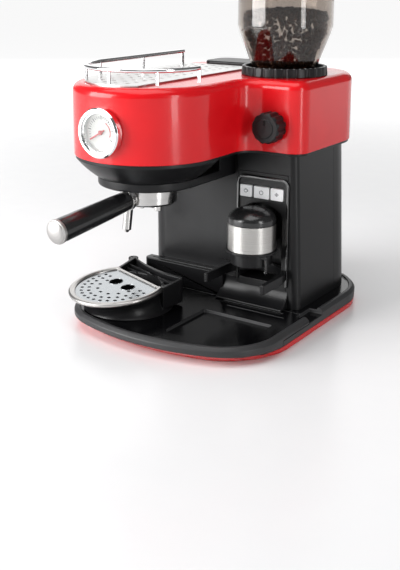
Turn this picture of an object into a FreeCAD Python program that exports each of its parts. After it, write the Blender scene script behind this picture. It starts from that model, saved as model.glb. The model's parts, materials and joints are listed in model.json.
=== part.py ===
"""Espresso machine with built-in grinder: one STEP per physical piece, in millimetres.

Frame: origin on the worktop under the middle of the base, +X to the machine's right,
+Y to its back, +Z up.
"""
import FreeCAD, Part
import math
import os

V = FreeCAD.Vector

# ---- driving dimensions --------------------------------------------------------------
base_half_width = 140.0      # the base is 280 wide
base_half_depth = 177.5      # and 355 deep
bow_radius = 267.0           # curve of the base's front edge
front_corner = 75.0
rear_corner = 85.0
rim_top = 22.3               # top of the base's rim
rim_bevel = 4.0
deck_top = 20.0
lip_width = 8.0
tray_joint_y = -6.0          # where the loose front tray meets the fixed base
tray_joint_z = 14.5
notch_front, notch_rear = -16.0, 19.0
skirt_front_corner = 88.0
skirt_bow_radius = 300.0

tower_top = 212.0
tower_wall = 3.0
tower_left = -119.0
tower_side_low, tower_side_high = 115.5, 107.0   # the right side leans in towards the top
cover_joint_y = 100.0
panel_left, panel_right = 29.0, 98.0
panel_front = 1.0
panel_top = 187.0
niche_left, niche_right, niche_back = 31.0, 90.0, 31.0
niche_floor, niche_spring, niche_crown = 50.0, 136.0, 148.0
button_bottom, button_top = 154.5, 169.4
button_spans = {"button_cup": (31.6, 48.2), "button_power": (51.0, 72.2), "button_steam": (74.3, 91.6)}

chute_x, chute_y = 60.5, -20.0
sleeve_radius = 29.3
sleeve_bottom, sleeve_top = 96.5, 129.0
fork_radius, fork_wall = 39.3, 5.5
fork_front = -62.0
fork_bottom, fork_top = 56.5, 68.0

brew_x, brew_y = -44.5, -86.0
group_lift = 2.0             # the brew group as a whole, above the heights in its profiles
head_radius = 88.0           # round front of the upper housing, about the brew axis
housing_wall = 2.5
housing_bottom, housing_top = 215.0, 300.0
housing_right, housing_rear = 118.0, 172.0
knob_x, knob_z, knob_face = 80.0, 246.0, -8.0
gauge_z = 250.0
basket_radius = 28.6
holder_radius = 34.0
holder_bottom, holder_top = 152.0, 187.0

inlet_x, inlet_z = 30.0, 46.0
grinder_x, grinder_y = 56.0, 60.0
hopper_radius = 58.0
hopper_top = 398.0

tank_low = (-94.0, 110.0, 60.0)
tank_high = (10.0, 158.0, 300.0)

swing_x, swing_y = -127.2, -13.0   # hinge of the swing-out drip tray
tray_turn = -19.6                  # how far the tray stands swung out, in degrees
tray_x, tray_y, tray_z = -78.0, -108.0, 46.0
tray_tilt = 6.0                    # the cup grid falls towards the front
ring_radius = 61.0
ring_width = 8.0
ring_chord = 32.0                  # straight back edge of the grid, behind its centre

pin_clearance = 0.06
moving_gap = 0.4


# ---- helpers -------------------------------------------------------------------------
def block(x0, y0, z0, x1, y1, z1):
    return Part.makeBox(x1 - x0, y1 - y0, z1 - z0, V(x0, y0, z0))


def rod(start, end, radius):
    a, b = V(*start), V(*end)
    return Part.makeCylinder(radius, (b - a).Length, a, b - a)


def post(x, y, z0, z1, radius):
    return Part.makeCylinder(radius, z1 - z0, V(x, y, z0))


def ring(x, y, z0, z1, inner, outer):
    return post(x, y, z0, z1, outer).cut(post(x, y, z0 - 1, z1 + 1, inner))


def turned(x, y, profile):
    """A solid of revolution about the vertical through (x, y); profile holds (radius, z)."""
    points = [V(x + r, y, z) for r, z in profile]
    face = Part.Face(Part.makePolygon(points + points[:1]))
    return face.revolve(V(x, y, 0), V(0, 0, 1), 360)


def turned_along(origin, direction, profile):
    """A solid of revolution about a line; profile holds (radius, distance along it)."""
    points = [V(r, 0, s) for r, s in profile]
    face = Part.Face(Part.makePolygon(points + points[:1]))
    solid = face.revolve(V(0, 0, 0), V(0, 0, 1), 360)
    solid.Placement = FreeCAD.Placement(V(*origin), FreeCAD.Rotation(V(0, 0, 1), V(*direction)))
    return solid


def rounded_wire(corners, z=0.0):
    """A closed wire at height z through corners (x, y, radius), with tangent arcs."""
    count = len(corners)
    starts, middles, ends = [], [], []
    for i, (x, y, radius) in enumerate(corners):
        here = V(x, y, z)
        before = (V(*corners[i - 1][:2], z) - here).normalize()
        after = (V(*corners[(i + 1) % count][:2], z) - here).normalize()
        half = before.getAngle(after) / 2
        reach = radius / math.tan(half)
        middle_way = (before + after).normalize()
        starts.append(here + before * reach)
        ends.append(here + after * reach)
        middles.append(here + middle_way * (radius / math.sin(half) - radius))
    edges = []
    for i in range(count):
        if corners[i][2] > 0:
            edges.append(Part.Arc(starts[i], middles[i], ends[i]).toShape())
        following = starts[(i + 1) % count]
        if (following - ends[i]).Length > 0.01:
            edges.append(Part.LineSegment(ends[i], following).toShape())
    return Part.Wire(edges)


def slab(wire, height):
    return Part.Face(wire).extrude(V(0, 0, height))


def on_front(wire_points, y0, y1):
    """A prism from an (x, z) outline, between two Y planes; an outline item may be an arc."""
    edges = []
    for item in wire_points:
        points = [V(x, y0, z) for x, z in item]
        if len(points) == 3:
            edges.append(Part.Arc(*points).toShape())
        else:
            edges.append(Part.LineSegment(*points).toShape())
    return Part.Face(Part.Wire(edges)).extrude(V(0, y1 - y0, 0))


def rounded_plate(x0, z0, x1, z1, radius, y0, y1):
    """An upright plate with rounded corners, between two Y planes."""
    wire = rounded_wire([(x0, z0, radius), (x1, z0, radius), (x1, z1, radius), (x0, z1, radius)])
    solid = Part.Face(wire).extrude(V(0, 0, y1 - y0))
    solid.rotate(V(0, 0, 0), V(1, 0, 0), 90)
    solid.translate(V(0, y1, 0))
    return solid


def soften(solid, radius, keep):
    """Round the edges that keep(edge) picks out."""
    edges = [edge for edge in solid.Edges if keep(edge)]
    return solid.makeFillet(radius, edges) if edges else solid


def at_height(z):
    return lambda edge: abs(edge.BoundBox.ZMin - z) < 0.01 and abs(edge.BoundBox.ZMax - z) < 0.01


def upright(edge):
    box = edge.BoundBox
    return box.XLength < 0.01 and box.YLength < 0.01


def one(*solids):
    return solids[0].multiFuse(list(solids[1:])).removeSplitter()


# ---- outlines ------------------------------------------------------------------------
def base_wire(z, inset=0.0, corner=front_corner, bow=bow_radius, side=base_half_width,
              front=-base_half_depth):
    """The base's plan: bowed front, straight sides, large rear corners."""
    side, bow, corner = side - inset, bow - inset, corner - inset
    rear, back_corner = base_half_depth - inset, rear_corner - inset
    bow_y = front + inset + bow
    centre_x = side - corner
    centre_y = bow_y - math.sqrt((bow - corner) ** 2 - centre_x ** 2)
    grow = bow / (bow - corner)
    touch = V(centre_x * grow, bow_y + (centre_y - bow_y) * grow, z)
    lean = (math.atan2(touch.y - centre_y, touch.x - centre_x)) / 2
    knee = V(centre_x + corner * math.cos(lean), centre_y + corner * math.sin(lean), z)
    half = math.sqrt(0.5)
    hip = V(side - back_corner * (1 - half), rear - back_corner * (1 - half), z)

    def left(point):
        return V(-point.x, point.y, z)

    shoulder, flank = V(side, centre_y, z), V(side, rear - back_corner, z)
    back = V(side - back_corner, rear, z)
    pieces = [Part.Arc(left(touch), V(0, front + inset, z), touch), Part.Arc(touch, knee, shoulder),
              Part.LineSegment(shoulder, flank), Part.Arc(flank, hip, back),
              Part.LineSegment(back, left(back)), Part.Arc(left(back), left(hip), left(flank)),
              Part.LineSegment(left(flank), left(shoulder)),
              Part.Arc(left(shoulder), left(knee), left(touch))]
    return Part.Wire([piece.toShape() for piece in pieces])


def tower_wire(z, inset=0.0):
    """Plan of the tower and grinder column at one height."""
    share = (z - deck_top) / (tower_top - deck_top)
    side = tower_side_low + (tower_side_high - tower_side_low) * share
    wire = rounded_wire([(tower_left, 12.5, 30), (26, 12.5, 1), (26, panel_front, 2), (side, panel_front, 9),
                         (side, 170, 60), (tower_left, 170, 60)], z)
    return wire.makeOffset2D(-inset) if inset else wire


def tower_block(z0, z1, inset=0.0):
    """The tower as one solid: upright on the left, leaning in on the right of x = 40."""
    lean = (tower_side_high - tower_side_low) / (tower_top - deck_top) * (z1 - z0)
    face = Part.Face(tower_wire(z0, inset))
    upright_part = face.extrude(V(0, 0, z1 - z0)).common(block(-200, -50, z0 - 1, 40, 250, z1 + 1))
    leaning_part = face.extrude(V(lean, 0, z1 - z0)).common(block(40, -50, z0 - 1, 200, 250, z1 + 1))
    return one(upright_part, leaning_part)


def head_wire(z, inset=0.0):
    """Plan of the upper housing: a drum about the brew axis, stepping back to the grinder."""
    d, half = inset, math.sqrt(0.5)
    left, right, rear = brew_x - head_radius + d, brew_x + head_radius - d, housing_rear - d
    nook_x, nook_y, nook = brew_x + head_radius + 24, -32.0, 24 + d
    shelf, east, corner, big = nook_y + nook, housing_right - d, 20 - d, 62 - d
    corner_x, corner_y = east - corner, shelf + corner
    far_x, far_y, near_x = east - big, rear - big, left + big
    drum = head_radius - d

    def p(x, y):
        return V(x, y, z)

    pieces = [Part.Arc(p(left, brew_y), p(brew_x, brew_y - drum), p(right, brew_y)),
              Part.LineSegment(p(right, brew_y), p(right, nook_y)),
              Part.Arc(p(right, nook_y), p(nook_x - nook * half, nook_y + nook * half), p(nook_x, shelf)),
              Part.LineSegment(p(nook_x, shelf), p(corner_x, shelf)),
              Part.Arc(p(corner_x, shelf), p(corner_x + corner * half, corner_y - corner * half),
                       p(east, corner_y)),
              Part.LineSegment(p(east, corner_y), p(east, far_y)),
              Part.Arc(p(east, far_y), p(far_x + big * half, far_y + big * half), p(far_x, rear)),
              Part.LineSegment(p(far_x, rear), p(near_x, rear)),
              Part.Arc(p(near_x, rear), p(near_x - big * half, far_y + big * half), p(left, far_y)),
              Part.LineSegment(p(left, far_y), p(left, brew_y))]
    return Part.Wire([piece.toShape() for piece in pieces])


# ---- base ----------------------------------------------------------------------------
def base_block():
    """The whole base as one solid: a tucked-under foot, an upright wall and a bevelled top."""
    wall_start = 12.2
    foot = Part.makeLoft([base_wire(0.0, corner=skirt_front_corner, bow=skirt_bow_radius,
                                    side=base_half_width - 1, front=-157.7),
                          base_wire(wall_start)], True, True)
    wall = slab(base_wire(wall_start), rim_top - rim_bevel - wall_start)
    bevel = Part.makeLoft([base_wire(rim_top - rim_bevel), base_wire(rim_top, rim_bevel)], True, True)
    return one(foot, wall, bevel)


def skirt_zone():
    """Everything below the seam between the coloured skirt and the black rim."""
    profile = [(-200, 0), (200, 0), (200, 6.8), (-85, 6.8), (-178, 12.2), (-200, 12.2)]
    points = [V(-200, y, z) for y, z in profile]
    return Part.Face(Part.makePolygon(points + points[:1])).extrude(V(400, 0, 0))


def base_pieces():
    whole = base_block()
    skirt = whole.common(skirt_zone())
    skirt = skirt.cut(slab(base_wire(3.5, 12), 20))
    feet = one_group([post(x, y, 0, 2.5, 11) for x in (-98, 98) for y in (-110, 120)])
    skirt = skirt.cut(feet)
    screws = [turned(x, y, [(0, 1.2), (3.4, 1.2), (3.4, 3.5), (1.6, 3.5), (1.6, 6.0), (0, 6.0)])
              for x in (-70, 70) for y in (-90, 140)]
    skirt = skirt.cut(one_group(screws))

    black = whole.cut(skirt_zone())
    black = black.cut(slab(base_wire(deck_top, lip_width), 10))
    hollow = slab(base_wire(0, 3.2), 17.0)
    notches, notch_beds = [], []
    for side in (-1, 1):
        low, high = sorted((side * 122, side * 145))
        notches.append(block(low, notch_front, 15.2, high, notch_rear, 30))
        low, high = sorted((side * 119, side * 145))
        notch_beds.append(block(low, notch_front - 0.3, 0, high, notch_rear + 2, 17.3))
    black = black.cut(hollow.cut(one_group(notch_beds))).cut(one_group(notches))
    tray_zone = one(block(-200, -200, tray_joint_z, 200, tray_joint_y, 30),
                    block(-200, -200, 0, 200, -80, 30))
    tray = black.common(tray_zone).cut(one_group(notch_beds))
    fixed_zone = one(block(-200, -200, tray_joint_z - 0.3, 200, tray_joint_y + 0.3, 30),
                     block(-200, -200, 0, 200, -79.7, 30)).cut(
        one_group([bed.common(block(-200, notch_front, 0, 200, 60, 17)) for bed in notch_beds]))
    frame = black.cut(fixed_zone)
    frame = frame.cut(slab(tower_wire(deck_top, -0.2), 10))
    # the sunken rest for a second cup or the tamper, on the right of the tray
    sunken_outer = rounded_wire([(15, -147, 12), (108, -138, 20), (114, -54.5, 4), (15, -54.5, 4)], 14.0)
    sunken_inner = rounded_wire([(17, -145, 10), (106, -136, 18), (112, -56.5, 3), (17, -56.5, 3)], 16.0)
    tray = one(tray, slab(sunken_outer, deck_top - 14.0)).cut(slab(sunken_inner, 10))
    lock_groove = block(18, -15.8, 19.2, 104, -15.0, 21)
    step_groove = block(32, -29.4, 19.2, 112, -28.6, 21)
    tray = tray.cut(lock_groove).cut(step_groove)
    pivot = post(swing_x, swing_y, 17.0, 49.0, 3.0)
    tray = tray.cut(post(swing_x, swing_y, 16.0, 21.0, 3.0))
    return {"base_skirt": skirt, "rubber_feet": feet, "base_screws": one_group(screws),
            "base_frame": frame, "front_tray": tray, "tray_hinge_pin": pivot}


def one_group(solids):
    return Part.makeCompound(solids) if len(solids) > 1 else solids[0]


# ---- tower and grinder column --------------------------------------------------------
def fork_solid():
    """A U-shaped band open to the front, that holds the filter holder under the chute."""
    inner, outer = fork_radius - fork_wall / 2, fork_radius + fork_wall / 2
    band = ring(chute_x, chute_y, fork_bottom, fork_top, inner, outer)
    band = band.cut(block(0, -80, 40, 110, chute_y, 70))
    arms = [block(chute_x + s * fork_radius - fork_wall / 2, fork_front, fork_bottom,
                  chute_x + s * fork_radius + fork_wall / 2, chute_y, fork_top) for s in (-1, 1)]
    band = one(band, *arms)
    tips = [e for e in band.Edges if abs(e.BoundBox.YMax - fork_front) < 0.01]
    return band.makeFillet(1.2, tips)


def tower_pieces():
    solid = tower_block(deck_top, tower_top)
    hollow = tower_block(deck_top - 1, tower_top + 1, tower_wall)
    window = block(panel_left, -5, deck_top - 1, panel_right, 40, panel_top)
    shell = solid.cut(hollow).cut(window)
    front = shell.cut(block(-200, cover_joint_y, 0, 200, 250, 250))
    rear = shell.common(block(-200, cover_joint_y, 0, 200, 250, 250))
    slots = [block(-56 + 8 * i, 160, 36 + 20 * j, -52 + 8 * i, 180, 50 + 20 * j)
             for i in range(9) for j in range(3)]
    inlet_hole = block(inlet_x - 16, 160, inlet_z - 13, inlet_x + 16, 180, inlet_z + 13)
    rear = rear.cut(one_group(slots)).cut(inlet_hole)
    screw_places = [(x, z) for x in (-52, 42) for z in (110, 184)]
    screws = [turned_along((x, 170.9, z), (0, -1, 0), [(0, 0), (3.6, 0), (3.6, 1.6), (1.7, 1.6), (1.7, 9), (0, 9)])
              for x, z in screw_places]
    for screw in screws:
        rear = rear.cut(screw)

    plate = block(panel_left, panel_front, deck_top, panel_right, 4.6, panel_top)
    arch = [[(niche_left, niche_floor), (niche_right, niche_floor)],
            [(niche_right, niche_floor), (niche_right, niche_spring)],
            [(niche_right, niche_spring), ((niche_left + niche_right) / 2, niche_crown),
             (niche_left, niche_spring)],
            [(niche_left, niche_spring), (niche_left, niche_floor)]]
    wall = 1.6
    wide = [[(niche_left - wall, niche_floor - wall), (niche_right + wall, niche_floor - wall)],
            [(niche_right + wall, niche_floor - wall), (niche_right + wall, niche_spring)],
            [(niche_right + wall, niche_spring), ((niche_left + niche_right) / 2, niche_crown + wall),
             (niche_left - wall, niche_spring)],
            [(niche_left - wall, niche_spring), (niche_left - wall, niche_floor - wall)]]
    liner = on_front(wide, panel_front, niche_back + wall).common(
        block(panel_left, -5, 0, panel_right, 50, 200))
    panel = one(plate, liner).cut(on_front(arch, -5, niche_back))
    for low, high in button_spans.values():
        panel = panel.cut(rounded_plate(low - moving_gap, button_bottom - moving_gap,
                                        high + moving_gap, button_top + moving_gap, 1.6, -5, 10))
    panel = panel.cut(block(chute_x - 10.2, 19.8, 130, chute_x + 10.2, 31.1, 160))

    bezel = rounded_plate(27, 40, 100, 182, 9, -1.6, panel_front)
    bezel = bezel.cut(rounded_plate(30, 30, 96.6, 178.6, 6.5, -5, 5)).cut(block(0, -9, 0, 120, 9, 47))

    cove_points = ((panel_front, 48.0), (-3.5, 31.0), (-16.0, 23.0))
    arc = Part.Arc(*[V(6, y, z) for y, z in cove_points]).toShape()
    rest = Part.makePolygon([V(6, -16, 23), V(6, -16, 20.5), V(6, 12.5, 20.5), V(6, 12.5, 48),
                             V(6, panel_front, 48)])
    foot = Part.Face(Part.Wire([arc] + rest.Edges)).extrude(V(94.5, 0, 0)).cut(solid)

    fork = fork_solid().cut(solid.cut(on_front(arch, -5, niche_back)))
    fork = fork.cut(block(-200, niche_back, 0, 200, 60, 200)).cut(foot).cut(bezel)

    rail = block(tower_left + 3, -4, deck_top, 9, 12.5, 50)
    rail = soften(rail, 7, lambda e: upright(e) and e.BoundBox.XMax < tower_left + 4 and e.BoundBox.YMax < 0)
    rail = rail.cut(block(-106, 3.2, 47.6, 20, 5.0, 60)).cut(fork).cut(foot).cut(solid)
    return {"tower_front_shell": front, "tower_rear_cover": rear, "rear_screws": one_group(screws),
            "column_panel": one(panel, foot), "control_bezel": bezel, "portafilter_fork": fork,
            "ledge_rail": rail}


def button_pieces():
    pieces = {}
    for name, (low, high) in button_spans.items():
        face = rounded_plate(low, button_bottom, high, button_top, 1.4, -0.9, 6.0)
        face = soften(face, 0.6, lambda e: abs(e.BoundBox.YMax + 0.9) < 0.01)
        pieces[name] = face
    return pieces


def chute_pieces():
    x, y, low, top = chute_x, chute_y, sleeve_bottom, sleeve_top
    sleeve = ring(x, y, low, top, 26.5, sleeve_radius)
    flange = turned(x, y, [(22.5, low - 18), (25.5, low - 18), (25.5, low - 3.4), (31.3, low - 3),
                           (31.3, low - 0.1), (26.4, low - 0.1), (26.4, low + 11), (24.4, low + 11),
                           (24.4, low), (22.5, low - 3)])
    stretch = FreeCAD.Matrix()
    stretch.scale(V(1, 1, 0.5))
    dome = Part.makeSphere(sleeve_radius, V(0, 0, 0)).transformGeometry(stretch)
    dome = dome.common(block(-40, -40, 0, 40, 40, 40))
    dome.translate(V(x, y, top + 5))
    cap = one(dome, post(x, y, top + 0.4, top + 5, sleeve_radius)).cut(post(x, y, 110, top + 6, 26.0))
    cap = one(cap, ring(x, y, top - 4, top + 6, 24.0, 26.3))
    duct = block(x - 10, 20, 98, x + 10, 30.9, 190).cut(block(x - 8.5, 21.5, 99.5, x + 8.5, 29.4, 191))
    nose = block(x - 8, 4, 100, x + 8, 21, 114)
    bore = block(x - 6.5, -2, 101.5, x + 6.5, 25, 112.5)
    duct = one(duct, nose.cut(post(x, y, 80, 140, sleeve_radius + 0.05))).cut(bore)
    duct = duct.cut(post(grinder_x, grinder_y, 160, 300, 36.05))
    sleeve, flange = sleeve.cut(bore), flange.cut(bore)
    bracket = block(x + 20, y - 15, low - 7, x + 30, y - 7, low - 3).cut(post(x, y, 60, 100, 25.55))
    flange = one(flange, bracket)
    pin_x, pin_y = x + 26.5, y - 11.0
    lever_end = 72.5
    lever = one(rod((pin_x, pin_y, lever_end), (pin_x, pin_y, low - 7.4), 1.6),
                Part.makeSphere(2.4, V(pin_x, pin_y, lever_end)))
    return {"chute_sleeve": sleeve, "grounds_chute": one_group([flange, duct]), "chute_cap": cap,
            "grind_switch_lever": lever}


# ---- brew group ----------------------------------------------------------------------
def brew_pieces():
    x, y = brew_x, brew_y
    seat = 186 + group_lift
    dish = turned(x, y, [(45, seat), (61, seat), (66, seat + 3.4), (72, seat + 8.2), (78, seat + 13.6),
                         (82.5, seat + 18.4), (85.5, seat + 22), (86.5, tower_top - 1), (86.5, tower_top),
                         (83, tower_top), (79, seat + 18), (72, seat + 11.6), (64, seat + 5.4), (59, seat + 3),
                         (48, seat + 3), (48, tower_top), (45, tower_top)])
    outer = turned(x, y, [(45, 176.5), (46, 175.5), (58, 175.5), (60.4, 176.6), (61, 178.5), (61, 186),
                          (45, 186)])
    # the ring's cover runs straight back to the tower on both sides
    web = block(x - 40, y, 175.5, x + 61, 12.5, 186)
    web = soften(web, 2.4, lambda e: abs(e.BoundBox.ZMax - 175.5) < 0.01 and e.BoundBox.XMin > x + 60)
    web = web.cut(block(x - 37, y - 1, 178.5, x + 58, 9.5, 183))
    back = block(x - 40, y, 186, x + 61, 12.5, tower_top - group_lift).cut(post(x, y, 180, 220, 86.6))
    outer = one(outer, one(web, back).cut(post(x, y, 170, 220, 45)))
    head = turned(x, y, [(0, 190.4), (36.6, 190.4), (36.6, 179), (33.6, 179), (33.6, 176.2),
                         (44.9, 176.2), (44.9, 199), (0, 199)])
    bore = post(x, y, 190, 200, 4)
    ears_width = 15.0
    gap = block(x - 36, y - ears_width / 2 - 1, 170, x + 36, y + ears_width / 2 + 1, 180)
    gap.rotate(V(x, y, 0), V(0, 0, 1), -45)
    head = head.cut(gap.common(post(x, y, 170, 180, 36.6))).cut(bore)
    gasket = ring(x, y, 187.4, 190.4, 28.8, 35.8)
    screen = turned(x, y, [(3, 184), (25.5, 184), (26.4, 185), (26.4, 190.4), (25, 190.4), (25, 185.6),
                           (3, 185.6)])
    screw = turned(x, y, [(0, 181.6), (5, 181.6), (5, 184), (2.9, 184), (2.9, 190.4), (0, 190.4)])

    body = turned(x, y, [(0, holder_bottom), (31.4, holder_bottom), (holder_radius, 154.5),
                         (holder_radius, 170), (33.2, 172), (33.2, holder_top), (31.7, holder_top),
                         (31.7, holder_top - 1.4), (29.2, holder_top - 1.4), (29.2, 157), (0, 157)])
    ears = block(x - 35.8, y - ears_width / 2, 179.3, x + 35.8, y + ears_width / 2, 184)
    ears = ears.common(post(x, y, 170, 190, 35.8)).cut(post(x, y, 170, 190, 33.0))
    body = one(body, ears).cut(post(x, y, 150, 160, 6))
    basket = turned(x, y, [(0, 162), (24, 162), (27.4, 165.4), (27.9, holder_top - 1.2),
                           (31.6, holder_top - 1.2), (31.6, holder_top - 0.2), (27.0, holder_top - 0.2),
                           (26.8, 166), (23.6, 162.8), (0, 162.8)])
    hub = turned(x, y, [(0, 147), (8, 147), (9, 148), (9, holder_bottom), (0, holder_bottom)])
    arms = [rod((x, y, 148.6), (x + s * 12.7, y, 147.4), 4.0) for s in (-1, 1)]
    nozzles = [turned(x + s * 12.7, y, [(0, 142.6), (3.4, 142.0), (4.2, 142.0), (4.6, 150), (3.8, 151.2), (0, 151.2)])
               for s in (-1, 1)]
    spout = one(hub, *arms, *nozzles)
    for s in (-1, 1):
        spout = spout.cut(post(x + s * 12.7, y, 130, 146, 2.6))
    start, end = V(x - 1.3, -116.0, 162.0), V(x - 6.6, -247.0, 148.6)
    run = end - start
    way = run.normalize()
    length = (end - start).Length
    root = start - way * 4
    arrow = (way.x, way.y, way.z)

    def along(profile):
        return turned_along((root.x, root.y, root.z), arrow, profile)

    neck = along([(0, 0), (8.5, 0), (8.5, 8), (7, 10), (7, 17), (0, 17)]).cut(post(x, y, 140, 190, holder_radius))
    ferrule = along([(0, 10.5), (11, 10.5), (12.2, 12), (12.2, 17), (0, 17)])
    grip = along([(0, 17), (11.4, 17), (11.7, 24), (12.4, 50), (13.2, 90), (13.6, 122), (13.2, 129.5), (0, 129.5)])
    collar = along([(0, 129.5), (13.9, 129.5), (14.1, 131.5), (13.9, 133.5), (0, 133.5)])
    tail = length + 4
    button = along([(0, 133.5), (12.9, 133.5), (12.4, 135), (9.5, tail + 0.6), (5, tail + 1.6), (0, tail + 2)])
    pieces = {"brew_ring": outer, "group_head": head, "group_gasket": gasket,
              "shower_screen": one_group([screen, screw]), "portafilter_body": one(body, neck, ferrule),
              "filter_basket": basket, "twin_spout": spout,
              "handle_grip": grip, "handle_end_cap": one(collar, button)}
    pieces = {name: piece.translated(V(0, 0, group_lift)) for name, piece in pieces.items()}
    pieces["head_underside"] = dish
    return pieces


def steam_pieces(dish):
    """The wand on its ball joint, and the underside of the head that holds the ball."""
    floor = slab(head_wire(tower_top, 1.5), housing_bottom - tower_top)
    floor = floor.cut(slab(tower_wire(150, 14), 100)).cut(post(brew_x, brew_y, 150, 250, 44.9))
    dish = one(dish, floor)
    ball_at = V(-109.5, -34, 185)
    tip = V(-111.7, -46, 98)
    socket = turned(ball_at.x, ball_at.y, [(0, 193.4), (6.5, 193.4), (9.5, 188), (10.4, 188), (10.4, tower_top), (0, tower_top)])
    ball = Part.makeSphere(8.0, ball_at)
    way = (tip - ball_at).normalize()
    whole = (tip - ball_at).Length
    arrow, root = (way.x, way.y, way.z), (ball_at.x, ball_at.y, ball_at.z)
    pipe = turned_along(root, arrow, [(0, 0), (3, 0), (3, whole - 44), (0, whole - 44)])
    sleeve = turned_along(root, arrow, [(0, whole - 44), (5.2, whole - 44), (6, whole - 42),
                                        (6, whole - 1), (5, whole), (0, whole)])
    nozzle = turned_along(root, arrow, [(0, whole), (3.6, whole), (3.2, whole + 2), (2, whole + 3), (0, whole + 3)])
    underside = one(dish, socket).cut(Part.makeSphere(8.3, ball_at))
    underside = underside.cut(block(tank_low[0] - 1, tank_low[1] - 1, 190, tank_high[0] + 1, tank_high[1] + 1, 230))
    return {"steam_pipe": one(ball, pipe), "steam_sleeve": one(sleeve, nozzle),
            "head_underside": underside}


# ---- upper housing -------------------------------------------------------------------
def housing_pieces():
    shell = slab(head_wire(housing_bottom), housing_top - housing_bottom)
    shell = soften(shell, 11, at_height(housing_top))
    hollow = soften(slab(head_wire(150, housing_wall), housing_top - 153), 8.5, at_height(housing_top - 3))
    shell = shell.cut(hollow)
    shell = shell.cut(post(grinder_x, grinder_y, 280, 320, 38.6))
    shell = shell.cut(block(tank_low[0] - 1, tank_low[1] - 1, 280, tank_high[0] + 1, tank_high[1] + 1, 320))
    shell = shell.cut(rod((brew_x, -190, gauge_z), (brew_x, -160, gauge_z), 25.0))
    shell = shell.cut(rod((knob_x, -20, knob_z), (knob_x, 10, knob_z), 4.1))

    gauge_front = brew_y - head_radius - 7
    bezel = turned_along((brew_x, gauge_front, gauge_z), (0, 1, 0),
                         [(23.5, 0), (26.5, 0), (28.5, 2), (28.5, 9.5), (24.9, 9.5), (24.9, 20), (21.5, 20), (21.5, 3.5), (23.5, 3.5)])
    bezel = bezel.cut(post(brew_x, brew_y, 200, 300, head_radius).cut(rod((brew_x, -200, gauge_z), (brew_x, -150, gauge_z), 24.95)))
    dial = rod((brew_x, gauge_front + 9, gauge_z), (brew_x, gauge_front + 11, gauge_z), 21.4)
    glass = rod((brew_x, gauge_front + 1.4, gauge_z), (brew_x, gauge_front + 3.4, gauge_z), 23.45)
    hub = rod((brew_x, gauge_front + 6.2, gauge_z), (brew_x, gauge_front + 8.2, gauge_z), 2.6)
    needle = one(hub, block(brew_x - 0.8, gauge_front + 6.6, gauge_z - 6, brew_x + 0.8, gauge_front + 7.6, gauge_z + 17))
    needle.rotate(V(brew_x, 0, gauge_z), V(0, 1, 0), -120)
    dial = dial.cut(rod((brew_x, -190, gauge_z), (brew_x, -150, gauge_z), 1.2))

    warmer = slab(head_wire(housing_top, 14), 2.0)
    warmer = warmer.common(block(-200, -200, 290, -10, 98, 320))
    warmer = warmer.cut(post(grinder_x, grinder_y, 280, 320, hopper_radius + 4))
    holes = [post(-112 + 16 * i, -140 + 16 * j, 290, 320, 3) for i in range(7) for j in range(15)]
    clear = slab(head_wire(0, 22), 400).common(block(-200, -200, 0, -18, 90, 400))
    clear = clear.cut(post(grinder_x, grinder_y, 0, 400, hopper_radius + 12))
    warmer = warmer.cut(one_group([h for h in holes if h.common(clear).Volume > h.Volume * 0.97]))
    rail_z, rail_r, rail_run = housing_top + 18, 2.6, head_radius - 16
    rail_line = Part.Wire([
        Part.Arc(V(brew_x - rail_run, brew_y, rail_z), V(brew_x, brew_y - rail_run, rail_z),
                 V(brew_x + rail_run, brew_y, rail_z)).toShape()])
    left_end = rod((brew_x - rail_run, brew_y, rail_z), (brew_x - rail_run, 90, rail_z), rail_r)
    section = Part.Wire([Part.makeCircle(rail_r, V(brew_x - rail_run, brew_y, rail_z), V(0, 1, 0))])
    rail = one(rail_line.makePipeShell([section], True, False), left_end)
    feet = []
    for degrees in (180, 225, 270, 315, 360):
        turn = math.radians(degrees)
        feet.append((brew_x + rail_run * math.cos(turn), brew_y + rail_run * math.sin(turn)))
    feet += [(brew_x - rail_run, 0), (brew_x - rail_run, 88)]
    rail = one(rail, *[post(px, py, housing_top + 2.0, rail_z, 2.2) for px, py in feet])

    knob = turned_along((knob_x, knob_face - 1.0, knob_z), (0, -1, 0),
                        [(0, 0), (18.5, 0), (18.5, 17), (16.5, 19), (0, 19)])
    flutes = []
    for i in range(12):
        a = math.radians(30 * i)
        flutes.append(rod((knob_x + 20.3 * math.cos(a), knob_face + 1, knob_z + 20.3 * math.sin(a)),
                          (knob_x + 20.3 * math.cos(a), knob_face - 24, knob_z + 20.3 * math.sin(a)), 3.4))
    knob = knob.cut(one_group(flutes))
    knob_cap = rod((knob_x, knob_face - 19.0, knob_z), (knob_x, knob_face - 21.2, knob_z), 11)
    valve = one(block(knob_x - 11, 7.5, knob_z - 11, knob_x + 11, 21.5, knob_z + 11)).cut(
        rod((knob_x, 0, knob_z), (knob_x, 30, knob_z), 6.0))
    needle_valve = one(rod((knob_x, 8, knob_z), (knob_x, 17, knob_z), 4.5), rod((knob_x, 17, knob_z), (knob_x, 20, knob_z), 2.0))
    stem = rod((knob_x, knob_face - 1.0, knob_z), (knob_x, 5.5, knob_z), 4.0)
    return {"upper_housing": shell, "gauge_bezel": bezel, "gauge_dial": dial,
            "gauge_glass": glass, "gauge_needle": needle, "cup_warmer_plate": warmer, "cup_rail": rail,
            "steam_knob": one(knob, stem, knob_cap), "steam_valve": valve,
            "valve_needle": needle_valve}


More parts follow.
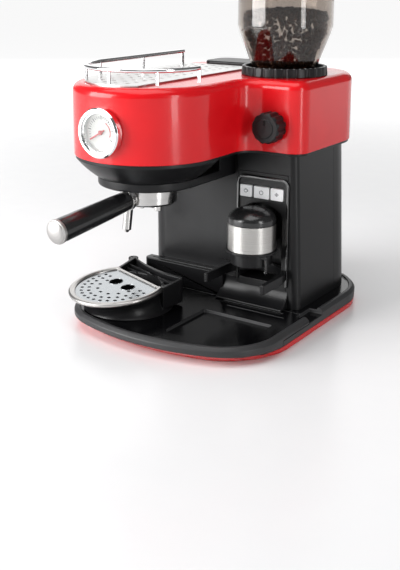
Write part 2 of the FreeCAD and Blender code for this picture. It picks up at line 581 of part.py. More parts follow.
# ---- grinder -------------------------------------------------------------------------
def grinder_pieces():
    x, y = grinder_x, grinder_y
    hopper = turned(x, y, [(35.6, 296), (38.2, 296), (38.2, 305), (56, 352), (hopper_radius, 360),
                           (hopper_radius, hopper_top), (55.5, hopper_top), (55.5, 361), (53.6, 353), (35.6, 305.6)])
    lid = turned(x, y, [(0, hopper_top + 0.4), (hopper_radius + 0.6, hopper_top + 0.4),
                        (hopper_radius + 0.6, 402), (56.5, 404.6), (14, 406.6), (12.5, 411), (13.5, 415), (10, 417), (0, 417)])
    lid = one(lid, ring(x, y, hopper_top - 6, hopper_top + 1, 52, 55.0))
    dial = turned(x, y, [(47, housing_top + 0.5), (53, housing_top + 0.5), (52, 311), (48, 311)])
    marks = []
    for i in range(24):
        a = math.radians(15 * i)
        marks.append(post(x + 54.2 * math.cos(a), y + 54.2 * math.sin(a), 300, 320, 3.2))
    dial = dial.cut(one_group(marks))
    casing = turned(x, y, [(8.5, 166), (36, 166), (36, 292), (33.5, 292), (33.5, 169), (8.5, 169)])
    casing = casing.cut(block(chute_x - 8.5, 15, 172, chute_x + 8.5, 40, 188))
    upper = turned(x, y, [(24.5, 226), (33.4, 226), (33.4, 242), (18, 242), (18, 240)])
    lower = turned(x, y, [(4.05, 216), (22, 216), (22, 224), (17, 240), (8, 250), (4.05, 250)])
    motor = turned(x, y, [(0, 80), (26, 80), (26, 150), (12, 154), (8.4, 154), (8.4, 162), (4.1, 162), (4.1, 120), (0, 120)])
    shaft = post(x, y, 121, 252, 4.0)
    return {"bean_hopper": hopper, "hopper_lid": lid, "grind_dial": dial, "grinder_casing": casing,
            "upper_burr": upper, "lower_burr": lower, "grinder_motor": motor, "motor_shaft": shaft}


# ---- water side ----------------------------------------------------------------------
def water_pieces():
    (x0, y0, z0), (x1, y1, z1) = tank_low, tank_high
    outline = [(x0, y0, 14), (x1, y0, 14), (x1, y1, 14), (x0, y1, 14)]
    tank = slab(rounded_wire(outline, z0), z1 - z0)
    inner = [(x0 + 2.4, y0 + 2.4, 11.6), (x1 - 2.4, y0 + 2.4, 11.6), (x1 - 2.4, y1 - 2.4, 11.6),
             (x0 + 2.4, y1 - 2.4, 11.6)]
    tank = tank.cut(slab(rounded_wire(inner, z0 + 3), z1 - z0))
    middle_y = (y0 + y1) / 2
    tank = tank.cut(post(-50, middle_y, 50, 70, 7.0))
    outlet = turned(-50, middle_y, [(0, 55.5), (5, 55.5), (6.9, 58), (6.9, 63), (9, 63.1), (9, 66), (0, 66)])
    lid = rounded_wire([(x0 - 3, y0 - 3, 15), (x1 + 3, y0 - 3, 15), (x1 + 3, y1 + 3, 15), (x0 - 3, y1 + 3, 15)],
                       z1 + 0.4)
    lid = slab(lid, 5.0)
    lid = soften(lid, 2.0, at_height(z1 + 5.4))
    pump = one(rod((-90, 60, 62), (-30, 60, 62), 17), block(-78, 46, 34, -42, 74, 60),
               rod((-30, 60, 62), (-16, 60, 62), 6))
    boiler = turned(brew_x, brew_y, [(0, 199 + group_lift), (36, 199 + group_lift), (36, 203), (39, 206), (39, 252), (34, 262), (0, 262)])
    hose = one(pipe_run([(-16, 60, 62), (10, 60, 62), (10, 60, 215), (10, 20, 236), (brew_x, 20, 236), (brew_x, -44.6, 236)], 3.0, 8))
    wand_feed = one(pipe_run([(brew_x, -86, 265), (brew_x, -60, 276), (-76, -34, 276), (-109.5, -34, 262), (-109.5, -34, 216)], 3.0, 8))
    wand_feed = wand_feed.cut(boiler)
    hose = hose.cut(boiler).cut(pump)
    board = block(66, 118, 90, 70, 160, 190)
    parts = [block(58, 124 + 12 * i, 100 + 22 * j, 66, 133 + 12 * i, 116 + 22 * j) for i in range(3) for j in range(4)]
    board = one(board, *parts)
    x, z = inlet_x, inlet_z
    inlet = block(x - 15.7, 150, z - 12.7, x + 15.7, 171.5, z + 12.7)
    inlet = one(inlet, block(x - 20, 170.05, z - 17, x + 20, 172.5, z + 17))
    inlet = inlet.cut(block(x - 13, 155, z - 10, x + 13, 180, z + 10))
    pins = [block(x + dx - 1, 150, z + dz - 3, x + dx + 1, 168, z + dz + 3) for dx, dz in ((-7, -3), (7, -3), (0, 4))]
    return {"water_tank": tank, "tank_outlet": outlet, "tank_lid": lid, "pump": pump,
            "boiler": boiler, "water_tubes": one_group([hose, wand_feed]), "control_board": board,
            "power_inlet": one(inlet, *pins)}


def pipe_run(points, radius, bend):
    """A round tube through points, with a tangent arc at each corner."""
    places = [V(*p) for p in points]
    edges, here = [], places[0]
    for before, corner, after in zip(places, places[1:], places[2:]):
        back, on = (before - corner).normalize(), (after - corner).normalize()
        half = back.getAngle(on) / 2
        reach = bend / math.tan(half)
        start, end = corner + back * reach, corner + on * reach
        middle = corner + (back + on).normalize() * (bend / math.sin(half) - bend)
        edges.append(Part.LineSegment(here, start).toShape())
        edges.append(Part.Arc(start, middle, end).toShape())
        here = end
    edges.append(Part.LineSegment(here, places[-1]).toShape())
    section = Part.Wire([Part.makeCircle(radius, places[0], places[1] - places[0])])
    return Part.Wire(edges).makePipeShell([section], True, False)


# ---- swing-out drip tray -------------------------------------------------------------
def drip_pieces():
    """Built about the grid's centre with the grid level, then tilted, turned and moved."""
    chord = ring_chord
    reach = math.sqrt(ring_radius ** 2 - chord ** 2)
    inner = ring_radius - ring_width
    front_zone = block(-80, -80, -80, 80, chord, 80)
    bead = turned(0, 0, [(inner, -3.0), (ring_radius - 2.5, -4.0), (ring_radius, -1.5), (ring_radius, 1.0),
                         (ring_radius - 2, 2.6), (ring_radius - 5.5, 2.6), (inner, 1.0)]).common(front_zone)
    bar = block(-reach + 3, chord - 4.0, -3, reach - 3, chord, 1.6)
    frame = one(bead, bar)
    plate = post(0, 0, -0.8, 0.0, inner - moving_gap).common(
        block(-80, -80, -9, 80, chord - 4.0 - moving_gap, 9))
    plate = plate.cut(one_group([post(s * 13.6, 6, -9, 9, 8.75) for s in (-1, 1)]))
    small = []
    for radius, count in ((45, 30), (36, 22), (25, 12)):
        for i in range(count):
            a = math.radians(360.0 * i / count)
            px, py = radius * math.cos(a), radius * math.sin(a)
            if py < 18 and min(math.hypot(px - 13.6, py - 6), math.hypot(px + 13.6, py - 6)) > 12.5:
                small.append(post(px, py, -9, 9, 2.2))
    plate = plate.cut(one_group(small))

    # bowl under the grid: a tilted top that a waisted, upright foot carries
    def disc(px, py, z, radius):
        return Part.Wire([Part.makeCircle(radius, V(px, py, z))])

    tilt = FreeCAD.Placement(V(0, 0, 0), FreeCAD.Rotation(V(1, 0, 0), tray_tilt))

    def tilted(shape):
        copy = shape.copy()
        copy.Placement = tilt.multiply(copy.Placement)
        return copy

    low = deck_top + 0.35 - tray_z
    top_disc = tilted(Part.Wire([Part.makeCircle(ring_radius - 3.5, V(0, 0, -4.0))]))
    bowl = Part.makeLoft([disc(6, 12, low, 56), disc(4.5, 9, low + 4, 52.5), disc(2, 4, low + 12, 51.5), top_disc], True)
    hollow = Part.makeLoft([disc(5, 10, low + 3, 46.5), disc(2, 4, low + 12, 47.5),
                            tilted(Part.Wire([Part.makeCircle(ring_radius - 7.5, V(0, 0, -4.0))])),
                            tilted(Part.Wire([Part.makeCircle(ring_radius - 7.5, V(0, 0, 4.0))]))], True)

    # arm behind the grid: from the chord back to a hollowed rear wall, with the hinge knuckle at its left
    sine, cosine = math.sin(math.radians(-tray_turn)), math.cos(math.radians(-tray_turn))
    hinge_dx, hinge_dy = swing_x - tray_x, swing_y - tray_y
    knuckle_x = hinge_dx * cosine - hinge_dy * sine
    knuckle_y = hinge_dx * sine + hinge_dy * cosine
    rear_line = [V(-73, 71, 0), V(-6, 63.5, 0), V(44, 72, 0)]
    arm_edges = [Part.Arc(*rear_line).toShape(), Part.LineSegment(V(44, 72, 0), V(reach + 0.5, chord, 0)).toShape(),
                 Part.LineSegment(V(reach + 0.5, chord, 0), V(-reach - 0.5, chord, 0)).toShape(),
                 Part.Arc(V(-reach - 0.5, chord, 0), V(-60, 50, 0), V(-73, 71, 0)).toShape()]
    arm = Part.Face(Part.Wire(arm_edges)).extrude(V(0, 0, 40))
    arm = soften(arm, 9, lambda e: upright(e) and e.BoundBox.XMax > 40 and e.BoundBox.YMin > 60)
    arm.translate(V(0, 0, low + 3.5))
    above = block(-120, -120, 1.0, 120, 120, 60)
    arm = arm.cut(tilted(above))
    back_wall = arm.common(block(-120, 0, -60, 120, 120, 60))
    basin = Part.Face(Part.Wire([Part.Arc(V(-62, 66, 0), V(-6, 59.0, 0), V(40, 66.5, 0)).toShape(),
                                 Part.LineSegment(V(40, 66.5, 0), V(reach - 6, chord + 2.5, 0)).toShape(),
                                 Part.LineSegment(V(reach - 6, chord + 2.5, 0), V(-reach + 4, chord + 2.5, 0)).toShape(),
                                 Part.LineSegment(V(-reach + 4, chord + 2.5, 0), V(-62, 66, 0)).toShape()]))
    arm = back_wall.cut(tilted(basin.extrude(V(0, 0, 40)).translated(V(0, 0, -7.0))))
    ribs = [block(-50 - 3 * i, chord + 6 + 7 * i, -7.2, 44, chord + 7.6 + 7 * i, -3.2 + 0.9 * i) for i in range(3)]
    ribs = [tilted(r).common(back_wall) for r in ribs]
    bowl = bowl.cut(hollow).fuse(arm.cut(hollow)).multiFuse([rib.cut(hollow) for rib in ribs])
    knuckle_low, knuckle_high = low + 3.5, 50.0 - tray_z
    knuckle = post(knuckle_x, knuckle_y, knuckle_low, knuckle_high, 6.6)
    bowl = bowl.fuse(knuckle).cut(post(knuckle_x, knuckle_y, -60, 60, 3.0 + pin_clearance))
    place = FreeCAD.Placement(V(tray_x, tray_y, tray_z), FreeCAD.Rotation(V(0, 0, 1), tray_turn))
    pieces = {}
    for name, shape in (("drip_bowl", bowl), ("drip_ring", tilted(frame)), ("drip_plate", tilted(plate))):
        moved = shape.copy()
        moved.Placement = place.multiply(moved.Placement)
        pieces[name] = moved
    return pieces


def main():
    os.makedirs("parts", exist_ok=True)
    pieces = {}
    pieces.update(base_pieces())
    pieces.update(tower_pieces())
    pieces.update(button_pieces())
    pieces.update(chute_pieces())
    pieces.update(brew_pieces())
    pieces.update(steam_pieces(pieces["head_underside"]))
    pieces.update(housing_pieces())
    pieces.update(grinder_pieces())
    pieces.update(water_pieces())
    pieces.update(drip_pieces())
    pieces["case_screws"] = one_group(pieces.pop("base_screws").Solids + pieces.pop("rear_screws").Solids)
    for name, shape in sorted(pieces.items()):
        shape.exportStep("parts/" + name + ".step")
        box = shape.optimalBoundingBox(False)
        print("%-20s solids %d valid %s volume %9.1f  x %7.1f %7.1f  y %7.1f %7.1f  z %6.1f %6.1f" % (
            name, len(shape.Solids), shape.isValid(), shape.Volume, box.XMin, box.XMax, box.YMin,
            box.YMax, box.ZMin, box.ZMax))
    print(len(pieces), "nodes")


main()
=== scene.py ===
import json
import math

import bmesh
import bpy
from mathutils import Matrix, Vector

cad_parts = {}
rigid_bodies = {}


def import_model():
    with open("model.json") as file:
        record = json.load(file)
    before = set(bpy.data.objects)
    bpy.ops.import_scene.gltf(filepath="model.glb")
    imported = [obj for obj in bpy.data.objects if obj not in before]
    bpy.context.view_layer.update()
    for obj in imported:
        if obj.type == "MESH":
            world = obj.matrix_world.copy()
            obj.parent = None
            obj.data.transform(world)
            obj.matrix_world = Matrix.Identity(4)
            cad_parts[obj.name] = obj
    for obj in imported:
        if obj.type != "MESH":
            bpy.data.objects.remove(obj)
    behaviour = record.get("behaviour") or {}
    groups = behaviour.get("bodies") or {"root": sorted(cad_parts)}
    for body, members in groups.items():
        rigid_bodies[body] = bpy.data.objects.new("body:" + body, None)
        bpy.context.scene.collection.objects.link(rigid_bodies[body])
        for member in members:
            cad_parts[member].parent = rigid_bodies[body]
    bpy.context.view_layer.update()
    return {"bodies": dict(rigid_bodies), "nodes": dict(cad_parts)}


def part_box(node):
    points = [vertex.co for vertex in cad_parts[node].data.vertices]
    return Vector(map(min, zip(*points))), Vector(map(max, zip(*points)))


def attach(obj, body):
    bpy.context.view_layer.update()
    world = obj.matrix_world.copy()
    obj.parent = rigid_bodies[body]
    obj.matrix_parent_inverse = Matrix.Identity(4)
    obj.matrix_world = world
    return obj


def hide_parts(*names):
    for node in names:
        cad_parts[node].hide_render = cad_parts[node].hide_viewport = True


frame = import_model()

mm = 0.001
nodes = frame["nodes"]


# ---- view and light: a level worktop in a white studio
viewSetup = {
    "place": (0.6106, -0.9552, 0.4253),   # camera, metres in the machine's frame
    "turn": 34.55,                        # degrees round to the machine's right
    "tip": 13.91,                         # degrees down
    "lens": 58.64,
    "shift": (0.0212, -0.15),
    "skyForCamera": 1.0,
    "skyForSurfaces": 0.16,
    # strength of the painted glow on the far worktop
    "farGlow": 0.8,
    "floorColour": (0.79, 0.79, 0.80, 1),
    "floorReach": 12.0,
    "sensor": 36,
    "clipEnd": 50,
}

softboxes = [
    # name, centre, aims at, width, height, watts
    ("topBox", (-0.1, -0.3, 1.6), (0, 0, 0.1), 1.6, 1.2, 15),
    ("keyBox", (-1.25, -1.55, 0.75), (0, 0, 0.12), 1.5, 1.3, 64),
    ("rearBox", (-1.7, 2.4, 1.35), (0, 0, 0.1), 3.4, 2.0, 27),
    ("edgeStrip", (1.5, -0.45, 0.5), (0.1, 0, 0.15), 0.3, 1.1, 8),
]


def buildView():
    world = bpy.data.worlds.new("studio")
    bpy.context.scene.world = world
    world.use_nodes = True
    tree = world.node_tree
    tree.nodes.clear()
    out = tree.nodes.new("ShaderNodeOutputWorld")
    mix = tree.nodes.new("ShaderNodeMixShader")
    path = tree.nodes.new("ShaderNodeLightPath")
    for slot, strength in ((1, viewSetup["skyForSurfaces"]), (2, viewSetup["skyForCamera"])):
        sky = tree.nodes.new("ShaderNodeBackground")
        sky.inputs["Color"].default_value = (1, 1, 1, 1)
        sky.inputs["Strength"].default_value = strength
        tree.links.new(sky.outputs[0], mix.inputs[slot])
    tree.links.new(path.outputs["Is Camera Ray"], mix.inputs[0])
    tree.links.new(mix.outputs[0], out.inputs[0])

    for name, centre, aim, width, height, watts in softboxes:
        lamp = bpy.data.lights.new(name, "AREA")
        lamp.shape, lamp.size, lamp.size_y, lamp.energy = "RECTANGLE", width, height, watts
        holder = bpy.data.objects.new(name, lamp)
        holder.location = centre
        holder.visible_camera = False
        holder.rotation_euler = (Vector(aim) - Vector(centre)).to_track_quat("-Z", "Y").to_euler()
        bpy.context.collection.objects.link(holder)

    camera = bpy.data.cameras.new("view")
    camera.lens, camera.sensor_width = viewSetup["lens"], viewSetup["sensor"]
    camera.shift_x, camera.shift_y = viewSetup["shift"]
    camera.clip_end = viewSetup["clipEnd"]
    holder = bpy.data.objects.new("view", camera)
    holder.location = viewSetup["place"]
    holder.rotation_euler = (math.radians(90 - viewSetup["tip"]), 0, math.radians(viewSetup["turn"]))
    bpy.context.collection.objects.link(holder)
    bpy.context.scene.camera = holder
    bpy.context.scene.view_settings.view_transform = "Standard"

    mesh = bpy.data.meshes.new("worktop")
    side = viewSetup["floorReach"]
    corners = [(-side, -side, 0), (side, -side, 0), (side, side, 0), (-side, side, 0)]
    mesh.from_pydata(corners, [], [(0, 1, 2, 3)])
    floor = bpy.data.objects.new("worktop", mesh)
    bpy.context.collection.objects.link(floor)
    floor.data.materials.append(materials["worktop"])


# ---- shared effects, as node groups
def startGroup(name, inputs, outputs):
    group = bpy.data.node_groups.new(name, "ShaderNodeTree")
    for label, kind, value in inputs:
        socket = group.interface.new_socket(label, in_out="INPUT", socket_type=kind)
        socket.default_value = value
    for label, kind in outputs:
        group.interface.new_socket(label, in_out="OUTPUT", socket_type=kind)
    return group, group.nodes.new("NodeGroupInput"), group.nodes.new("NodeGroupOutput")


def mouldedGrain():
    # the fine spark-eroded grain of moulded plastic, and its slow change of gloss
    group, given, result = startGroup(
        "mouldedGrain",
        [("Grain Size", "NodeSocketFloat", 1800.0), ("Grain Depth", "NodeSocketFloat", 0.05),
         ("Roughness", "NodeSocketFloat", 0.4), ("Spread", "NodeSocketFloat", 0.06)],
        [("Roughness", "NodeSocketFloat"), ("Normal", "NodeSocketVector"), ("Mottle", "NodeSocketFloat")])
    link = group.links.new
    place = group.nodes.new("ShaderNodeTexCoord")
    grain = group.nodes.new("ShaderNodeTexNoise")
    grain.inputs["Detail"].default_value = 3
    bump = group.nodes.new("ShaderNodeBump")
    bump.inputs["Distance"].default_value = 0.0004
    slow = group.nodes.new("ShaderNodeTexNoise")
    slow.inputs["Scale"].default_value = 26
    slow.inputs["Detail"].default_value = 5
    centred = group.nodes.new("ShaderNodeMath")
    centred.operation = "SUBTRACT"
    centred.inputs[1].default_value = 0.5
    scaled = group.nodes.new("ShaderNodeMath")
    scaled.operation = "MULTIPLY_ADD"
    link(place.outputs["Object"], grain.inputs["Vector"])
    link(place.outputs["Object"], slow.inputs["Vector"])
    link(given.outputs["Grain Size"], grain.inputs["Scale"])
    link(given.outputs["Grain Depth"], bump.inputs["Strength"])
    link(grain.outputs["Fac"], bump.inputs["Height"])
    link(slow.outputs["Fac"], centred.inputs[0])
    link(centred.outputs[0], scaled.inputs[0])
    link(given.outputs["Spread"], scaled.inputs[1])
    link(given.outputs["Roughness"], scaled.inputs[2])
    link(scaled.outputs[0], result.inputs["Roughness"])
    link(bump.outputs["Normal"], result.inputs["Normal"])
    link(slow.outputs["Fac"], result.inputs["Mottle"])
    return group


def brushedLines():
    # hair lines from brushing: noise drawn out along one direction
    group, given, result = startGroup(
        "brushedLines",
        [("Stretch", "NodeSocketVector", (20.0, 20.0, 3000.0)),
         ("Centre", "NodeSocketVector", (0.0, 0.0, 0.0)),
         ("Round", "NodeSocketFloat", 0.0), ("Line Depth", "NodeSocketFloat", 0.2),
         ("Roughness", "NodeSocketFloat", 0.3), ("Spread", "NodeSocketFloat", 0.15)],
        [("Roughness", "NodeSocketFloat"), ("Normal", "NodeSocketVector"), ("Lines", "NodeSocketFloat")])
    link = group.links.new
    place = group.nodes.new("ShaderNodeTexCoord")
    moved = group.nodes.new("ShaderNodeVectorMath")
    moved.operation = "SUBTRACT"
    flat = group.nodes.new("ShaderNodeVectorMath")
    flat.operation = "MULTIPLY"
    flat.inputs[1].default_value = (1, 1, 0)
    reach = group.nodes.new("ShaderNodeVectorMath")
    reach.operation = "LENGTH"
    rings = group.nodes.new("ShaderNodeCombineXYZ")
    choose = group.nodes.new("ShaderNodeMix")
    choose.data_type = "VECTOR"
    stretch = group.nodes.new("ShaderNodeVectorMath")
    stretch.operation = "MULTIPLY"
    noise = group.nodes.new("ShaderNodeTexNoise")
    noise.inputs["Scale"].default_value = 1
    noise.inputs["Detail"].default_value = 4
    bump = group.nodes.new("ShaderNodeBump")
    bump.inputs["Distance"].default_value = 0.0003
    centred = group.nodes.new("ShaderNodeMath")
    centred.operation = "SUBTRACT"
    centred.inputs[1].default_value = 0.5
    scaled = group.nodes.new("ShaderNodeMath")
    scaled.operation = "MULTIPLY_ADD"
    link(place.outputs["Object"], moved.inputs[0])
    link(given.outputs["Centre"], moved.inputs[1])
    link(moved.outputs[0], flat.inputs[0])
    link(flat.outputs[0], reach.inputs[0])
    link(reach.outputs["Value"], rings.inputs["Z"])
    link(given.outputs["Round"], choose.inputs["Factor"])
    link(moved.outputs[0], choose.inputs["A"])
    link(rings.outputs[0], choose.inputs["B"])
    link(choose.outputs["Result"], stretch.inputs[0])
    link(given.outputs["Stretch"], stretch.inputs[1])
    link(stretch.outputs[0], noise.inputs["Vector"])
    link(given.outputs["Line Depth"], bump.inputs["Strength"])
    link(noise.outputs["Fac"], bump.inputs["Height"])
    link(noise.outputs["Fac"], centred.inputs[0])
    link(centred.outputs[0], scaled.inputs[0])
    link(given.outputs["Spread"], scaled.inputs[1])
    link(given.outputs["Roughness"], scaled.inputs[2])
    link(scaled.outputs[0], result.inputs["Roughness"])
    link(bump.outputs["Normal"], result.inputs["Normal"])
    link(noise.outputs["Fac"], result.inputs["Lines"])
    return group


def deckMask():
    # 1 on level faces that lie below a height: the sunk deck inside the raised rim, where shade is painted
    group, given, result = startGroup(
        "deckMask", [("Height", "NodeSocketFloat", 0.02)], [("Mask", "NodeSocketFloat")])
    link = group.links.new
    place = group.nodes.new("ShaderNodeTexCoord")
    where = group.nodes.new("ShaderNodeSeparateXYZ")
    facing = group.nodes.new("ShaderNodeNewGeometry")
    leaning = group.nodes.new("ShaderNodeSeparateXYZ")
    below = group.nodes.new("ShaderNodeMath")
    below.operation = "LESS_THAN"
    level = group.nodes.new("ShaderNodeMath")
    level.operation = "GREATER_THAN"
    level.inputs[1].default_value = 0.9
    both = group.nodes.new("ShaderNodeMath")
    both.operation = "MULTIPLY"
    link(place.outputs["Object"], where.inputs[0])
    link(where.outputs["Z"], below.inputs[0])
    link(given.outputs["Height"], below.inputs[1])
    link(facing.outputs["True Normal"], leaning.inputs[0])
    link(leaning.outputs["Z"], level.inputs[0])
    link(below.outputs[0], both.inputs[0])
    link(level.outputs[0], both.inputs[1])
    link(both.outputs[0], result.inputs["Mask"])
    return group


def paintedFarGlow():
    # painted glow: the worktop gives off light of its own, more the farther it lies from the machine, so
    # that it runs out into the white of the studio
    group, given, result = startGroup(
        "paintedFarGlow",
        [("From", "NodeSocketFloat", 0.5), ("To", "NodeSocketFloat", 2.5)],
        [("Glow", "NodeSocketColor")])
    link = group.links.new
    place = group.nodes.new("ShaderNodeTexCoord")
    reach = group.nodes.new("ShaderNodeVectorMath")
    reach.operation = "LENGTH"
    fade = group.nodes.new("ShaderNodeMapRange")
    fade.interpolation_type = "SMOOTHSTEP"
    colour = group.nodes.new("ShaderNodeCombineColor")
    link(place.outputs["Object"], reach.inputs[0])
    link(reach.outputs["Value"], fade.inputs["Value"])
    link(given.outputs["From"], fade.inputs["From Min"])
    link(given.outputs["To"], fade.inputs["From Max"])
    for channel in ("Red", "Green", "Blue"):
        link(fade.outputs[0], colour.inputs[channel])
    link(colour.outputs[0], result.inputs["Glow"])
    return group


groups = {"grain": mouldedGrain(), "lines": brushedLines(), "deck": deckMask(), "fade": paintedFarGlow()}


# ---- materials
def startMaterial(name):
    material = bpy.data.materials.new(name)
    material.use_nodes = True
    tree = material.node_tree
    return material, tree, tree.nodes["Principled BSDF"]


def setInputs(node, values):
    for label, value in values.items():
        node.inputs[label].default_value = value


def tint(tree, shader, factor, low, high):
    # the base colour changes a little over the surface
    ramp = tree.nodes.new("ShaderNodeMix")
    ramp.data_type = "RGBA"
    ramp.inputs["A"].default_value = (*low, 1)
    ramp.inputs["B"].default_value = (*high, 1)
    tree.links.new(factor, ramp.inputs["Factor"])
    tree.links.new(ramp.outputs["Result"], shader.inputs["Base Color"])


def plasticMaterial(name, low, high, roughness, spread=0.08, depth=0.05, size=1800.0, coat=0.0,
                    coatRough=0.05, specular=0.5):
    material, tree, shader = startMaterial(name)
    grain = tree.nodes.new("ShaderNodeGroup")
    grain.node_tree = groups["grain"]
    setInputs(grain, {"Grain Size": size, "Grain Depth": depth, "Roughness": roughness, "Spread": spread})
    tree.links.new(grain.outputs["Roughness"], shader.inputs["Roughness"])
    tree.links.new(grain.outputs["Normal"], shader.inputs["Normal"])
    tint(tree, shader, grain.outputs["Mottle"], low, high)
    shader.inputs["Coat Weight"].default_value = coat
    shader.inputs["Coat Roughness"].default_value = coatRough
    shader.inputs["Specular IOR Level"].default_value = specular
    return material


def metalMaterial(name, low, high, roughness, spread, depth, stretch, centre=(0, 0, 0), rings=0.0):
    material, tree, shader = startMaterial(name)
    lines = tree.nodes.new("ShaderNodeGroup")
    lines.node_tree = groups["lines"]
    setInputs(lines, {"Stretch": stretch, "Centre": centre, "Round": rings, "Line Depth": depth,
                      "Roughness": roughness, "Spread": spread})
    tree.links.new(lines.outputs["Roughness"], shader.inputs["Roughness"])
    tree.links.new(lines.outputs["Normal"], shader.inputs["Normal"])
    tint(tree, shader, lines.outputs["Lines"], low, high)
    shader.inputs["Metallic"].default_value = 1.0
    return material


def clearMaterial(name, colour, roughness):
    material, tree, shader = startMaterial(name)
    grain = tree.nodes.new("ShaderNodeGroup")
    grain.node_tree = groups["grain"]
    setInputs(grain, {"Grain Size": 60.0, "Grain Depth": 0.02, "Roughness": roughness, "Spread": 0.03})
    tree.links.new(grain.outputs["Roughness"], shader.inputs["Roughness"])
    shader.inputs["Base Color"].default_value = (*colour, 1)
    setInputs(shader, {"Transmission Weight": 1.0, "IOR": 1.46})
    return material


def nodeCentre(name):
    low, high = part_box(name)
    return (low + high) / 2


sleeveCentre = nodeCentre("chute_sleeve")
gridCentre = nodeCentre("drip_ring")
materials = {
    "worktop": plasticMaterial("worktop", viewSetup["floorColour"][:3], (0.81, 0.81, 0.815), 0.24, 0.04,
        0.0, 30.0, specular=0.25),
    "satinBlack": plasticMaterial("satinBlack", (0.007, 0.007, 0.0075), (0.010, 0.010, 0.011), 0.34,
        0.08, 0.08, 2200.0, specular=0.27),
    # painted highlight: the rim's base colour is kept several times lighter than the other black plastic,
    # standing in for the light on its lit top edges; its rougher, deeper grain is its own finish
    "rimBlack": plasticMaterial("rimBlack", (0.030, 0.030, 0.031), (0.040, 0.040, 0.042), 0.42, 0.08,
        0.14, 2400.0, specular=0.35),
    "glossBlack": plasticMaterial("glossBlack", (0.004, 0.004, 0.0045), (0.006, 0.006, 0.0065), 0.10,
        0.05, 0.02, 700.0, 0.6),
    "gripBlack": plasticMaterial("gripBlack", (0.010, 0.010, 0.0105), (0.014, 0.014, 0.015), 0.24, 0.05,
        0.03, 900.0, 0.3, 0.18),
    "glossRed": plasticMaterial("glossRed", (0.60, 0.004, 0.008), (0.70, 0.006, 0.010), 0.26, 0.05,
        0.02, 500.0, 0.35, 0.06, specular=0.25),
    "whiteButton": plasticMaterial("whiteButton", (0.90, 0.91, 0.92), (0.94, 0.95, 0.96), 0.28, 0.05,
        0.02),
    "greyPrint": plasticMaterial("greyPrint", (0.16, 0.17, 0.18), (0.2, 0.21, 0.22), 0.5),
    "blackPrint": plasticMaterial("blackPrint", (0.02, 0.02, 0.02), (0.03, 0.03, 0.03), 0.5),
    "redPrint": plasticMaterial("redPrint", (0.5, 0.02, 0.02), (0.6, 0.03, 0.02), 0.4),
    "dialCard": plasticMaterial("dialCard", (0.78, 0.77, 0.73), (0.84, 0.83, 0.8), 0.6),
    "rubber": plasticMaterial("rubber", (0.01, 0.01, 0.01), (0.018, 0.018, 0.018), 0.75, 0.1, 0.2,
        1200.0),
    "sleeveSteel": metalMaterial("sleeveSteel", (0.42, 0.41, 0.39), (0.62, 0.61, 0.59), 0.30, 0.16,
        0.10, (14, 14, 3800), sleeveCentre),
    "ringSteel": metalMaterial("ringSteel", (0.48, 0.465, 0.45), (0.62, 0.605, 0.59), 0.32, 0.12, 0.10,
        (10, 10, 2600), gridCentre, 1.0),
    "gridSteel": metalMaterial("gridSteel", (0.36, 0.38, 0.395), (0.50, 0.52, 0.535), 0.24, 0.12, 0.06,
        (700, 18, 700), gridCentre),
    "plateSteel": metalMaterial("plateSteel", (0.58, 0.58, 0.57), (0.72, 0.72, 0.71), 0.3, 0.14, 0.08,
        (1400, 10, 10)),
    "chrome": metalMaterial("chrome", (0.80, 0.80, 0.81), (0.86, 0.86, 0.87), 0.09, 0.05, 0.01,
        (60, 60, 60)),
    "polished": metalMaterial("polished", (0.54, 0.535, 0.525), (0.68, 0.67, 0.66), 0.16, 0.08, 0.03,
        (14, 14, 900)),
    "capSteel": metalMaterial("capSteel", (0.40, 0.39, 0.38), (0.52, 0.51, 0.50), 0.45, 0.1, 0.06,
        (9, 2400, 9)),
    "brass": metalMaterial("brass", (0.60, 0.42, 0.18), (0.72, 0.53, 0.26), 0.3, 0.1, 0.05,
        (40, 40, 600)),
    "castAlloy": metalMaterial("castAlloy", (0.42, 0.42, 0.43), (0.55, 0.55, 0.56), 0.45, 0.12, 0.12,
        (240, 240, 240)),
    "burrSteel": metalMaterial("burrSteel", (0.28, 0.28, 0.29), (0.42, 0.42, 0.43), 0.35, 0.1, 0.1,
        (60, 60, 1200)),
    "smokedClear": clearMaterial("smokedClear", (0.55, 0.50, 0.46), 0.04),
    "waterClear": clearMaterial("waterClear", (0.86, 0.92, 0.95), 0.05),
    "gaugeClear": clearMaterial("gaugeClear", (0.97, 0.98, 0.98), 0.01),
    "silicone": plasticMaterial("silicone", (0.68, 0.68, 0.66), (0.76, 0.76, 0.74), 0.5),
    "boardGreen": plasticMaterial("boardGreen", (0.02, 0.14, 0.05), (0.03, 0.2, 0.08), 0.35, 0.1, 0.1,
        300.0),
    "beanBrown": plasticMaterial("beanBrown", (0.035, 0.013, 0.006), (0.085, 0.034, 0.016), 0.5, 0.1,
        0.2, 300.0, specular=0.25),
}


def paintDeckShade(material, dark, gloss):
    # painted shade: the sunk deck's colour is darkened well below the rim round it, standing in for the dark
    # it lies in and reflects; its higher gloss is its own finish
    tree = material.node_tree
    shader = tree.nodes["Principled BSDF"]
    mask = tree.nodes.new("ShaderNodeGroup")
    mask.node_tree = groups["deck"]
    mask.inputs["Height"].default_value = deckShadeAndGloss["height"] * mm
    for label, kind, value in (("Base Color", "RGBA", (*dark, 1)), ("Roughness", "FLOAT", gloss)):
        before = shader.inputs[label].links[0].from_socket
        mix = tree.nodes.new("ShaderNodeMix")
        mix.data_type = kind
        ends = [socket for socket in mix.inputs if socket.name in ("A", "B") and socket.enabled]
        tree.links.new(before, ends[0])
        ends[1].default_value = value
        tree.links.new(mask.outputs["Mask"], mix.inputs["Factor"])
        tree.links.new([socket for socket in mix.outputs if socket.enabled][0], shader.inputs[label])


